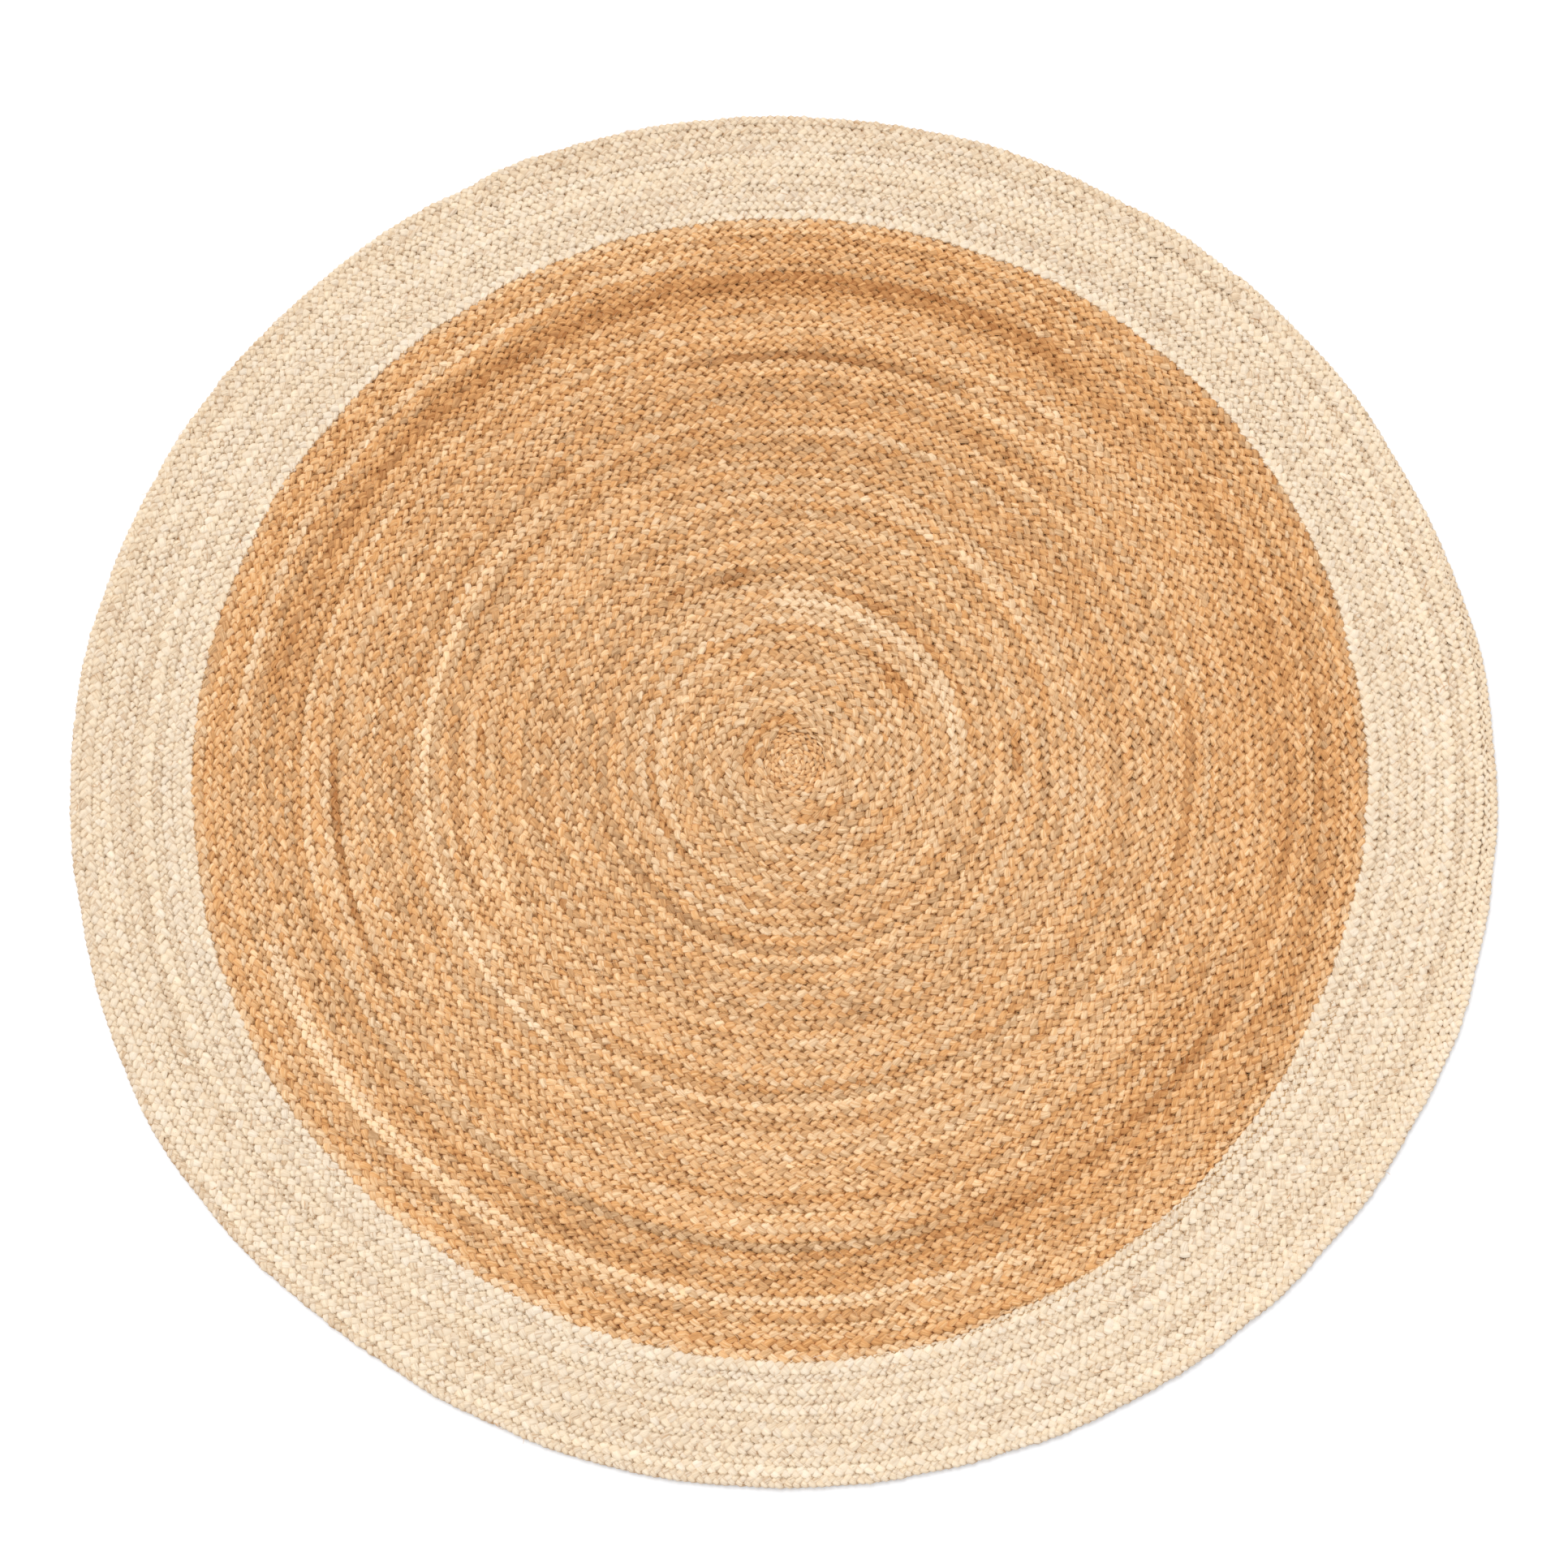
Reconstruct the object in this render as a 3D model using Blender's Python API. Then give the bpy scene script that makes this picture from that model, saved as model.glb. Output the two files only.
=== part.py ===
"""A round plaited jute rug: two plaits wound side by side from a fine start coil out to a pale border.

Two plaits run together as a spiral, anticlockwise from above. Along the spiral the place of a point is
given in turns, counted from where the plaits leave the start coil. The inner plait of the pair lies
between the seam called turn_seam and the seam called middle_seam, the outer plait between middle_seam
and the next turn of turn_seam. Every plait, thread and tack is laid out from these two seams.
"""

import math

import bmesh
import bpy
from mathutils import Vector

MM = 0.001
FULL_TURN = math.tau

# Overall sizes
RUG_RADIUS = 742 * MM
FIELD_RADIUS = 610.7 * MM
START_RADIUS = 33 * MM
THICKNESS = 9 * MM

# Straight pieces per turn: half as many while the turns are small
STEPS_PER_TURN = 28
SMALL_TURNS = 14
SHORTEST_STEP = 0.01

# How the pair of plaits is wound
START_ANGLE = math.radians(330)
FIELD_TURNS = 30
FIRST_PITCH = 20.4 * MM
BORDER_TURNS = 6.22
FIELD_SHARE = 0.48
BORDER_SHARE = 0.56
SHARE_CHANGE_TURNS = 0.1

# The start coil is one fine plait
START_COIL_PITCH = 6.4 * MM
START_COIL_EYE = 1.2 * MM
START_COIL_TURNS = 4.85

# The rug lies slightly off round: its turns drift to one side and its rim is a little oval
DRIFT = 12 * MM
DRIFT_ANGLE = math.radians(162)
OVAL = 3 * MM
OVAL_ANGLE = math.radians(12)

# Section of a plait and the gaps between neighbours
GAP = 0.32 * MM
CROWN = 2.2 * MM
CROWN_LIMIT = 0.3
TIP_WIDTH = 1.6 * MM

# Where one length of plait ends and the next begins, in turns
INNER_JOINS = (25.86, 27.99)
OUTER_JOINS = (21.27,)
SCARF_TURNS = 2 / STEPS_PER_TURN
INNER_SCARF = (FIELD_TURNS - SCARF_TURNS, FIELD_TURNS)
OUTER_SCARF = (FIELD_TURNS - 2 * SCARF_TURNS, FIELD_TURNS - SCARF_TURNS)

# The two tails at the rim
RUG_TURNS = FIELD_TURNS + BORDER_TURNS
INNER_TAIL = (RUG_TURNS - 0.28, RUG_TURNS - 0.07)
OUTER_TAIL = (RUG_TURNS - 0.21, RUG_TURNS)
TAIL_SHARE = 0.3

# Seam thread in the grooves of the border, and the tacks that hold the tails
THREAD_WIDTH = 1.4 * MM
THREAD_HEIGHT = 1.2 * MM
THREAD_LEAD = 0.02
TACK_LENGTH = 3 * MM
TACK_THICKNESS = 0.8 * MM
TACK_DEPTH = 2.6 * MM
TACK_SETBACK = 0.045

ORANGE_JUTE = (0.62, 0.34, 0.15)
BEIGE_JUTE = (0.50, 0.34, 0.20)
START_JUTE = (0.62, 0.40, 0.19)
BLEACHED_JUTE = (0.82, 0.66, 0.45)
PALE_JUTE = (0.78, 0.63, 0.43)
THREAD_COLOR = (0.70, 0.48, 0.24)


def smooth(value):
    """Ease a value from 0 to 1, held at the ends."""
    value = min(max(value, 0.0), 1.0)
    return value * value * (3 - 2 * value)


def seam_radius(turns):
    """Radius of turn_seam before the rug's drift, growing by one pitch per turn."""
    if turns > FIELD_TURNS:
        pitch = (RUG_RADIUS - FIELD_RADIUS) / BORDER_TURNS
        return FIELD_RADIUS + pitch * (turns - FIELD_TURNS)
    mean_pitch = (FIELD_RADIUS - START_RADIUS) / FIELD_TURNS
    change = (mean_pitch - FIRST_PITCH) / FIELD_TURNS
    return START_RADIUS + turns * (FIRST_PITCH + change * turns)


def tail_width(turns, tail):
    """How much of its full width a plait still has, near its tail."""
    start, end = tail
    return 1 - (1 - TAIL_SHARE) * smooth((turns - start) / (end - start))


def turn_seam(turns):
    """Radius of the inner edge of the inner plait, never inside the start coil."""
    return max(seam_radius(turns), START_RADIUS)


def inner_share(turns):
    """Share of the pair's width that its inner plait takes."""
    ramp = smooth((turns - FIELD_TURNS) / SHARE_CHANGE_TURNS + 1)
    return FIELD_SHARE + (BORDER_SHARE - FIELD_SHARE) * ramp


def middle_seam(turns):
    """Radius of the seam between the two plaits of the pair."""
    width = inner_share(turns) * (seam_radius(turns + 1) - seam_radius(turns))
    return max(seam_radius(turns) + width * tail_width(turns, INNER_TAIL), START_RADIUS)


def outer_seam(turns):
    """Radius of the outer edge of the outer plait: the next turn of turn_seam, or the rim."""
    if turns < OUTER_TAIL[0] - 1:
        return turn_seam(turns + 1)
    width = (1 - inner_share(turns)) * (seam_radius(turns + 1) - seam_radius(turns))
    return middle_seam(turns) + width * tail_width(turns, OUTER_TAIL)


def coil_seam(turns):
    """Radius of the inner edge of the start coil's plait."""
    return START_COIL_EYE + START_COIL_PITCH * turns


def coil_outer_seam(turns):
    """Radius of the outer edge of the start coil's plait, kept inside the pair of plaits."""
    return min(coil_seam(turns + 1), START_RADIUS)


def place(radius, turns):
    """Point of the rug at a radius and a place along the spiral, with drift and oval."""
    angle = START_ANGLE + FULL_TURN * turns
    reach = radius / RUG_RADIUS
    radius += OVAL * reach ** 3 * math.cos(2 * (angle - OVAL_ANGLE))
    drift = Vector((math.cos(DRIFT_ANGLE), math.sin(DRIFT_ANGLE))) * DRIFT * reach
    return Vector((math.cos(angle), math.sin(angle))) * radius + drift


def steps_per_turn(turns):
    """Straight pieces per turn at this place along the spiral."""
    return STEPS_PER_TURN // 2 if turns < SMALL_TURNS else STEPS_PER_TURN


def on_seam(seam, turns):
    """Point on a seam, which runs straight from one step to the next."""
    later = turns + 1 if seam is outer_seam else turns
    steps = steps_per_turn(later)
    step = math.floor(turns * steps + 1e-6)
    part = turns * steps - step
    near = place(seam(step / steps), step / steps)
    if part < 1e-6:
        return near
    far = place(seam((step + 1) / steps), (step + 1) / steps)
    return near.lerp(far, part)


def stations(start, end):
    """Places along the spiral where a length of plait has a section."""
    inner = [start]
    turns = start
    while True:
        steps = steps_per_turn(turns + 1)
        turns = (math.floor(turns * steps + 1e-6) + 1) / steps
        if turns > end - SHORTEST_STEP / steps:
            return inner + [end]
        if turns - start > SHORTEST_STEP / steps:
            inner.append(turns)


def material(name, color, roughness):
    """A plain fibre material."""
    made = bpy.data.materials.new(name)
    made.use_nodes = True
    shader = made.node_tree.nodes["Principled BSDF"]
    shader.inputs["Base Color"].default_value = (*color, 1)
    shader.inputs["Roughness"].default_value = roughness
    shader.inputs["Metallic"].default_value = 0
    return made


def sweep(name, sections, surface):
    """A closed solid through four-cornered sections, from the first to the last."""
    bm = bmesh.new()
    lengths = len(sections) - 1
    bmesh.ops.create_grid(bm, x_segments=lengths, y_segments=4, size=0.5)
    for vert in bm.verts:
        section = sections[round((vert.co.x + 0.5) * lengths)]
        vert.co = section[round((vert.co.y + 0.5) * 4) % 4]
    bmesh.ops.remove_doubles(bm, verts=bm.verts, dist=0.001 * MM)
    ends = [edge for edge in bm.edges if edge.is_boundary]
    bmesh.ops.holes_fill(bm, edges=ends, sides=4)
    bmesh.ops.recalc_face_normals(bm, faces=bm.faces)
    mesh = bpy.data.meshes.new(name)
    bm.to_mesh(mesh)
    bm.free()
    mesh.materials.append(surface)
    made = bpy.data.objects.new(name, mesh)
    bpy.context.collection.objects.link(made)
    return made


def corners(inner, outer):
    """Section of a plait between two points: flat below, with its top edges drawn in."""
    across = outer - inner
    width = across.length - GAP
    across.normalize()
    low_in = inner + across * GAP / 2
    low_out = outer - across * GAP / 2
    crown = min(CROWN, CROWN_LIMIT * width)
    high_in = low_in + across * crown
    high_out = low_out - across * crown
    return [
        low_in.to_3d(),
        low_out.to_3d(),
        Vector((*high_out, THICKNESS)),
        Vector((*high_in, THICKNESS)),
    ]


def split(turns, scarf, tip):
    """Part of the width taken by the ending length of plait at this place of a slanting joint."""
    start, end = scarf
    return min(max((end - turns) / (end - start), tip), 1 - tip)


def plait(name, surface, seams, span, scarf_in=None, scarf_out=None):
    """One length of plait between its two seams, with a slanting joint at either end if asked."""
    inner_seam, outer_edge = seams
    start, end = span
    places = stations(start, end)
    for scarf in (scarf_in, scarf_out):
        if scarf:
            places = sorted(set(places) | {turns for turns in scarf if start < turns < end})
    sections = []
    for turns in places:
        inner = on_seam(inner_seam, turns)
        outer = on_seam(outer_edge, turns)
        width = (outer - inner).length
        tip = TIP_WIDTH / width
        low, high = 0.0, 1.0
        if scarf_in and turns <= scarf_in[1]:
            low = split(turns, scarf_in, tip)
        if scarf_out and turns >= scarf_out[0]:
            high = split(turns, scarf_out, tip)
        sections.append(corners(inner.lerp(outer, low), inner.lerp(outer, high)))
    return sweep(name, sections, surface)


def joint_gap(turns):
    """The gap between two lengths that meet end to end, in turns."""
    return GAP / (FULL_TURN * seam_radius(turns))


def spans(start, joins, end):
    """The stretches between joins, with a gap at each join."""
    marks = [start, *joins, end]
    stretches = []
    for index, (first, last) in enumerate(zip(marks, marks[1:])):
        low = first + joint_gap(first) / 2 if index else first
        high = last - joint_gap(last) / 2 if last is not end else last
        stretches.append((low, high))
    return stretches


def lead_in(share):
    """Where a plait first has the width of its tip beside the start coil, in turns."""
    return (TIP_WIDTH - share * FIRST_PITCH) / FIRST_PITCH


def start_coil():
    """The fine plait in the middle."""
    surface = material("start_jute", START_JUTE, 0.85)
    span = (0.0, START_COIL_TURNS)
    return plait("start_coil", surface, (coil_seam, coil_outer_seam), span)


def field_plaits():
    """The orange and the beige plait of the field, each in its lengths."""
    orange = material("orange_jute", ORANGE_JUTE, 0.85)
    beige = material("beige_jute", BEIGE_JUTE, 0.88)
    made = []
    stretches = spans(lead_in(FIELD_SHARE), INNER_JOINS, INNER_SCARF[1])
    for number, span in enumerate(stretches, 1):
        scarf = INNER_SCARF if number == len(stretches) else None
        name = f"orange_plait_{number}"
        made.append(plait(name, orange, (turn_seam, middle_seam), span, scarf_out=scarf))
    stretches = spans(lead_in(1), OUTER_JOINS, OUTER_SCARF[1])
    for number, span in enumerate(stretches, 1):
        scarf = OUTER_SCARF if number == len(stretches) else None
        name = f"beige_plait_{number}"
        made.append(plait(name, beige, (middle_seam, outer_seam), span, scarf_out=scarf))
    return made


def border_plaits():
    """The two bleached plaits of the border, out to their tails."""
    wide = material("bleached_jute_wide", BLEACHED_JUTE, 0.85)
    narrow = material("bleached_jute_narrow", PALE_JUTE, 0.85)
    span = (INNER_SCARF[0], INNER_TAIL[1])
    made = [plait("border_wide_plait", wide, (turn_seam, middle_seam), span, scarf_in=INNER_SCARF)]
    span = (OUTER_SCARF[0], OUTER_TAIL[1])
    seams = (middle_seam, outer_seam)
    made.append(plait("border_narrow_plait", narrow, seams, span, scarf_in=OUTER_SCARF))
    return made


def seam_thread(name, seam, start, end):
    """A thread lying in the groove over one seam of the border."""
    surface = material(name, THREAD_COLOR, 0.6)
    bottom = THICKNESS * (THREAD_WIDTH / 2 + GAP / 2) / CROWN
    low, high = Vector((0, 0, bottom)), Vector((0, 0, bottom + THREAD_HEIGHT))
    sections = []
    for turns in stations(start, end):
        middle = on_seam(seam, turns)
        away = (middle - place(0, turns)).normalized() * THREAD_WIDTH / 2
        inner, outer = (middle - away).to_3d(), (middle + away).to_3d()
        sections.append([inner + low, outer + low, outer + high, inner + high])
    return sweep(name, sections, surface)


def tail_tack(name, seams, turns):
    """A stitched strap over a plait close to its tail."""
    surface = material(name, THREAD_COLOR, 0.6)
    inner, outer = (on_seam(seam, turns) for seam in seams)
    across = (outer - inner).normalized()
    length = Vector((-across.y, across.x, 0)) * TACK_LENGTH / 2
    low_in, low_out, high_out, high_in = corners(inner, outer)
    wall_in = (low_in - high_in).normalized() * TACK_DEPTH
    wall_out = (low_out - high_out).normalized() * TACK_DEPTH
    path = [high_in + wall_in, high_in, high_out, high_out + wall_out]
    side = across.to_3d()
    up = Vector((0, 0, 1))
    leans = [-side, (up - side), (up + side), side]
    sections = []
    for point, lean in zip(path, leans):
        near = point + lean * GAP
        far = near + lean * TACK_THICKNESS
        sections.append([near - length, near + length, far + length, far - length])
    return sweep(name, sections, surface)


def border_sewing():
    """The seam threads of the border and the tacks on its tails."""
    last = INNER_TAIL[0] - THREAD_LEAD
    first = FIELD_TURNS + THREAD_LEAD
    return [
        seam_thread("pair_seam_thread", middle_seam, first, last),
        seam_thread("turn_seam_thread", turn_seam, first + 1, last),
        tail_tack("wide_tail_tack", (turn_seam, middle_seam), INNER_TAIL[1] - TACK_SETBACK),
        tail_tack("narrow_tail_tack", (middle_seam, outer_seam), OUTER_TAIL[1] - TACK_SETBACK),
    ]


def centre_on_origin(pieces):
    """Move every piece so that the rug's bounding box stands centred on the origin."""
    points = [piece.matrix_world @ vert.co for piece in pieces for vert in piece.data.vertices]
    low = Vector(min(point[axis] for point in points) for axis in range(3))
    high = Vector(max(point[axis] for point in points) for axis in range(3))
    for piece in pieces:
        piece.location = Vector((-(low.x + high.x) / 2, -(low.y + high.y) / 2, -low.z))


def main():
    for old in list(bpy.data.objects):
        bpy.data.objects.remove(old, do_unlink=True)
    pieces = [start_coil()]
    pieces += field_plaits()
    pieces += border_plaits()
    pieces += border_sewing()
    centre_on_origin(pieces)


main()
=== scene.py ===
"""The looks of a round rug: two plaits of jute wound side by side in a spiral and sewn together.

An orange and a beige plait fill the field, two bleached plaits make the border, and a fine plait
makes the coil in the middle.
"""
import math

import bmesh
import bpy
import numpy as np
from mathutils import Matrix, Vector


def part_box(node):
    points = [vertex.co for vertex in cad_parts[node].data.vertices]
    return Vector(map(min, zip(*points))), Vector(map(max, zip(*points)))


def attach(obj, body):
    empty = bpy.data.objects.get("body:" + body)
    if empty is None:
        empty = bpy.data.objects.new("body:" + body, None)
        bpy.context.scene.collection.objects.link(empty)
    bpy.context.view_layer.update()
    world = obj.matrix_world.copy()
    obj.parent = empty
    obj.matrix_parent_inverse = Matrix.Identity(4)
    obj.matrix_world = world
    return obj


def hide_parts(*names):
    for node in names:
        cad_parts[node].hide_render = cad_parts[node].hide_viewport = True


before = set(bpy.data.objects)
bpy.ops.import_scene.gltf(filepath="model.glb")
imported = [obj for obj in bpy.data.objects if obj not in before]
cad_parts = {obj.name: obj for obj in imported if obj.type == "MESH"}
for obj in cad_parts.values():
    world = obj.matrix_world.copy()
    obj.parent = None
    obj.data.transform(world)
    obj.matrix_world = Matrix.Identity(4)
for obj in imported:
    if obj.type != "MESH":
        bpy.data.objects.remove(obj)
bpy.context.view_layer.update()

bl_info = {
    "name": "Braided jute rug",
    "version": (1, 0, 0),
    "blender": (4, 5, 0),
    "location": "3D View > Sidebar > Rug",
    "description": "Plaits a round jute rug strand by strand and sets it on a studio floor",
    "category": "Object",
}

MM = 0.001
BODY = "root"
STRANDS = 3

# Rows: the waves of their wobble and the waves' lengths, how many times a turn the seams stray, the
# places measured along a row, each turn and besides, over how many turns an odd length fades in, and
# where the field's plaits are joined.
WOBBLE_WAVES = 14
WOBBLE_LENGTHS = (0.07, 0.26)
UNEVEN_KNOTS = 14
RULER_POINTS, RULER_EXTRA = 240, 60
TONE_FADE = 0.015
ORANGE_JOINS = (25.86, 27.99)
BEIGE_JOIN = 21.27

# Tails, in turns: how far before the last one each border plait narrows and ends, then how far past
# the wide tail the narrow plait has closed up and over how many turns it does.
WIDE_TAIL = (0.28, 0.07)
NARROW_TAIL = (0.21, 0.0)
CLOSED_PAST, CLOSING = 0.005, 0.04

# Strands: how high their mid height lies, as a share of their rise, how far before a crossing a leaf
# begins, and how uneven a plait is. A reach is the length over which a change drifts.
RESTING = 0.9
LEAF_LEAD = math.radians(25)
FULLNESS = (0.42, 1.12)
PERIOD_CHANGE, PERIOD_REACH = 0.06, 0.3
SWING_CHANGE, PLUMP_CHANGE = 0.08, 0.09
ROW_REACH, LEAF_REACH = 0.7, 0.12
LEAF_WARMTH, ROW_WARMTH, WARMTH_REACH = 0.17, 0.15, 0.35

# Sewing, in turns: where the field's stitches begin, how far past the colour change the thread changes
# and before the tails it stops, and how far a tack lies before a tail's end. Then how much stitches
# stray along and across, as a share, and in height.
FIRST_STITCH = 0.1
SEAM_CLEARANCE = 0.02
TACK_SETBACK = 0.045
STITCH_STRAY = 0.25
STITCH_SINK = 0.35 * MM

# Loose fibres: their points and how high they arch, then how far inside the rim those at the rim
# start and how much lower than the others they lie.
FIBRE_POINTS = 5
FIBRE_ARCH = 0.7 * MM
RIM_TUCK = 2 * MM
RIM_DROP = 0.8 * MM

# How much finer a strand's map is across it than along it.
MAP_STRETCH = 1.4

# One strand over half a plait: how far along it is in degrees, then its place across and its
# height as shares of its full swing and rise, and its width as a share of its usual width.
LEAF = (
    (-10, -0.20, -0.30, 0.90),
    (25, 0.50, 0.85, 1.06),
    (64, 1.06, 0.70, 0.93),
    (116, 0.96, -0.70, 0.74),
)

# Sections of a strand and a thread, as shares of half the width and half the thickness.
STRAND_SECTION = ((1, 0.2), (0, -1), (-1, 0.2), (-0.6, 1), (0.6, 1))
THREAD_SECTION = ((1, -0.5), (0, 1), (-1, -0.5))


def length(name, description, default):
    """A property that holds a length in metres."""
    return bpy.props.FloatProperty(
        name=name, description=description, default=default, precision=5, unit="LENGTH"
    )


def amount(name, description, default):
    """A property that holds a plain number."""
    return bpy.props.FloatProperty(name=name, description=description, default=default, precision=4)


def angle(name, description, degrees):
    """A property that holds an angle, given in degrees."""
    return bpy.props.FloatProperty(
        name=name, description=description, default=math.radians(degrees), subtype="ANGLE"
    )


def color(name, description, default):
    """A property that holds a linear colour."""
    return bpy.props.FloatVectorProperty(
        name=name, description=description, default=default, size=3, min=0, max=1, subtype="COLOR"
    )


class RugLayout(bpy.types.PropertyGroup):
    """How the plaits are wound. Places along the spiral are turns from the start coil's end."""

    rug_radius: length("Rug radius", "Radius of the seam where the last turn ends", 742 * MM)
    field_radius: length("Field radius", "Radius of the colour change", 610.7 * MM)
    start_radius: length("Start radius", "Radius of the fine coil in the middle", 33 * MM)
    start_angle: angle("Start angle", "Direction in which the spiral starts", 330)
    field_turns: amount("Field turns", "Turns of the pair of plaits in the field", 30)
    first_pitch: length("First pitch", "Width of the pair of plaits on the first turn", 20.4 * MM)
    border_turns: amount("Border turns", "Turns of the pair of plaits in the border", 6.22)
    field_share: amount("Field share", "Inner plait's share of the pair in the field", 0.48)
    border_share: amount("Border share", "The same in the border", 0.56)
    coil_pitch: length("Coil pitch", "Width of the fine plait of the start coil", 6.4 * MM)
    coil_eye: length("Coil eye", "Radius at which the start coil begins", 1.2 * MM)
    coil_turns: amount("Coil turns", "Turns of the start coil", 4.85)
    drift: length("Drift", "How far the rim lies off the middle of the spiral", 12 * MM)
    drift_angle: angle("Drift direction", "Direction in which the rim lies off", 162)
    oval: length("Oval", "How much longer the radius is one way", 3 * MM)
    oval_angle: angle("Oval direction", "Direction of the long way", 12)
    kink: length("Kink", "How far the rows swing out and back in", 4.5 * MM)
    kink_angle: angle("Kink direction", "Direction of the kink", 225)
    kink_spread: angle("Kink spread", "Half the angle from swing to swing", 12)
    wobble: length("Wobble", "How far each wave moves the rows off a true spiral", 0.45 * MM)
    overhang: length("Overhang", "How far strands bulge past the rim", 3.4 * MM)
    unevenness: length("Unevenness", "How far the seams stray where plaits are thicker", 0.9 * MM)
    rim_warmth: amount("Rim warmth", "How much more orange the field is at its rim", 0.25)
    tip_width: length("Tip width", "Width of a plait where it starts beside another", 1.6 * MM)
    scarf: amount("Scarf", "Turns over which one plait gives way to the next", 2 / 28)
    tail_share: amount("Tail share", "Share of its width that a plait keeps at its tail", 0.3)


class PlaitShape(bpy.types.PropertyGroup):
    """How three strands lie in a plait."""

    field_period: length("Field period", "Length of one full plait", 35 * MM)
    wide_period: length("Wide period", "Length of one full plait", 31 * MM)
    narrow_period: length("Narrow period", "Length of one full plait", 23 * MM)
    coil_period: length("Coil period", "Length of one full plait", 25 * MM)
    half_width: amount("Half width", "Half a strand's width, as a share of the plait's", 0.385)
    swing: amount("Swing", "How far a strand swings sideways, as a share", 0.33)
    thickness: length("Strand thickness", "Thickness of a strand", 5.0 * MM)
    rise: length("Rise", "How far a strand rises and dips from mid height", 2.1 * MM)
    coil_thickness: length("Coil strand thickness", "Thickness of a strand", 3.4 * MM)
    coil_rise: length("Coil rise", "How far a strand of the coil rises and dips", 1.9 * MM)
    lean: angle("Lean", "How unevenly the strands are turned", 11)
    slip: angle("Slip", "How unevenly the crossings follow each other", 7)
    wander: length("Wander", "How unevenly the strands lie", 0.35 * MM)


class Sewing(bpy.types.PropertyGroup):
    """The sewing thread and the loose fibres."""

    thread: length("Thread", "Thickness of the sewing thread", 0.8 * MM)
    step: length("Step", "Distance along a seam from one stitch to the next", 2.5 * MM)
    reach: length("Reach", "How far a stitch reaches over each row", 1.2 * MM)
    height: length("Height", "Height of the stitches over the floor", 8.1 * MM)
    tack_passes: bpy.props.IntProperty(name="Tack passes", description="Turns of a tack", default=6)
    tack_height: length("Tack height", "Height of a tack over the floor", 9.4 * MM)
    fibre: length("Fibre", "Thickness of a loose fibre", 0.42 * MM)
    fibre_length: length("Fibre length", "Usual length of a loose fibre", 16 * MM)
    fibre_height: length("Fibre height", "Height of the loose fibres over the floor", 8.9 * MM)


class JuteColors(bpy.types.PropertyGroup):
    """The colours of the jute, from its darkest to its palest fibre."""

    # The dark tones are the darkest fibre and also the colour of the painted shade between the
    # strands.
    orange_dark: color("Orange dark", "Darkest fibre", (0.36, 0.13, 0.032))
    orange_mid: color("Orange", "Usual fibre", (0.70, 0.352, 0.130))
    orange_pale: color("Orange pale", "Palest fibre", (0.90, 0.64, 0.37))
    beige_dark: color("Beige dark", "Darkest fibre", (0.33, 0.155, 0.056))
    beige_mid: color("Beige", "Usual fibre", (0.62, 0.385, 0.20))
    beige_pale: color("Beige pale", "Palest fibre", (0.90, 0.675, 0.45))
    bleached_dark: color("Bleached dark", "Darkest fibre", (0.50, 0.29, 0.14))
    bleached_mid: color("Bleached", "Usual fibre", (0.75, 0.617, 0.474))
    bleached_pale: color("Bleached pale", "Palest fibre", (0.90, 0.78, 0.63))
    thread: color("Thread", "Sewing thread in the field", (0.64, 0.37, 0.14))
    border_thread: color("Border thread", "Sewing thread in the border", (0.78, 0.62, 0.43))
    fleck: color("Fleck", "Bark left on the fibre", (0.10, 0.055, 0.03))


class Studio(bpy.types.PropertyGroup):
    """The floor, the lamps and the camera."""

    lens: amount("Lens", "Focal length in millimetres on a 36 mm sensor", 67.1)
    elevation: angle("Elevation", "Camera height above the floor", 76.17)
    roll: angle("Roll", "Turn of the camera about its view", 1.5)
    distance: length("Distance", "From the camera to the floor along its view", 3.085)
    aim_x: length("Aim X", "Where the camera aims, from the middle", -10.9 * MM)
    aim_y: length("Aim Y", "Where the camera aims, from the middle", -23.3 * MM)
    floor_size: length("Floor size", "Side of the floor", 30.0)
    floor: color("Floor", "Floor paint", (0.93, 0.935, 0.95))
    sky: amount("Sky", "Strength of the light from all round", 0.98)
    lamp: amount("Lamp", "Strength of the soft lamp from above", 1.3)
    lamp_spread: angle("Lamp spread", "Size of the lamp seen from the rug", 40)
    lamp_height: angle("Lamp height", "Height of the lamp above the floor", 58)
    lamp_turn: angle("Lamp turn", "Direction of the lamp round the rug", 128)


# Lengths of plait that stand out: middle radius in metres where the length starts, the angles
# in degrees between which it runs, how much paler it is and how much more orange.
ODD_LENGTHS = (
    (0.580, 100, 182, 0.26, -0.2),
    (0.568, 200, 300, 0.22, -0.2),
    (0.595, 262, 320, 0.18, -0.2),
    (0.541, 55, 178, -0.13, 0.30),
    (0.550, 70, 140, -0.07, 0.2),
    (0.458, 65, 110, -0.32, -0.2),
    (0.425, 330, 375, -0.20, 0.3),
    (0.378, 130, 235, 0.26, -0.3),
    (0.525, 270, 335, -0.16, 0.1),
    (0.478, 178, 215, -0.26, 0.0),
    (0.484, 300, 338, -0.20, 0.0),
    (0.330, 195, 222, 0.18, 0.0),
    (0.280, 10, 95, -0.12, 0.35),
    (0.244, 355, 372, -0.28, 0.1),
    (0.210, 100, 115, -0.22, 0.1),
    (0.195, 0, 85, -0.18, 0.35),
    (0.175, 0, 100, 0.16, -0.3),
    (0.162, 70, 95, 0.16, -0.2),
    (0.185, 290, 340, -0.20, 0.2),
    (0.137, 25, 50, -0.20, 0.5),
    (0.120, 300, 340, -0.15, 0.4),
    (0.075, 190, 300, 0.05, -0.6),
    (0.063, 270, 325, -0.22, 0.4),
    (0.045, 85, 215, -0.22, 0.5),
    (0.512, 200, 290, -0.10, -0.5),
)

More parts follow.
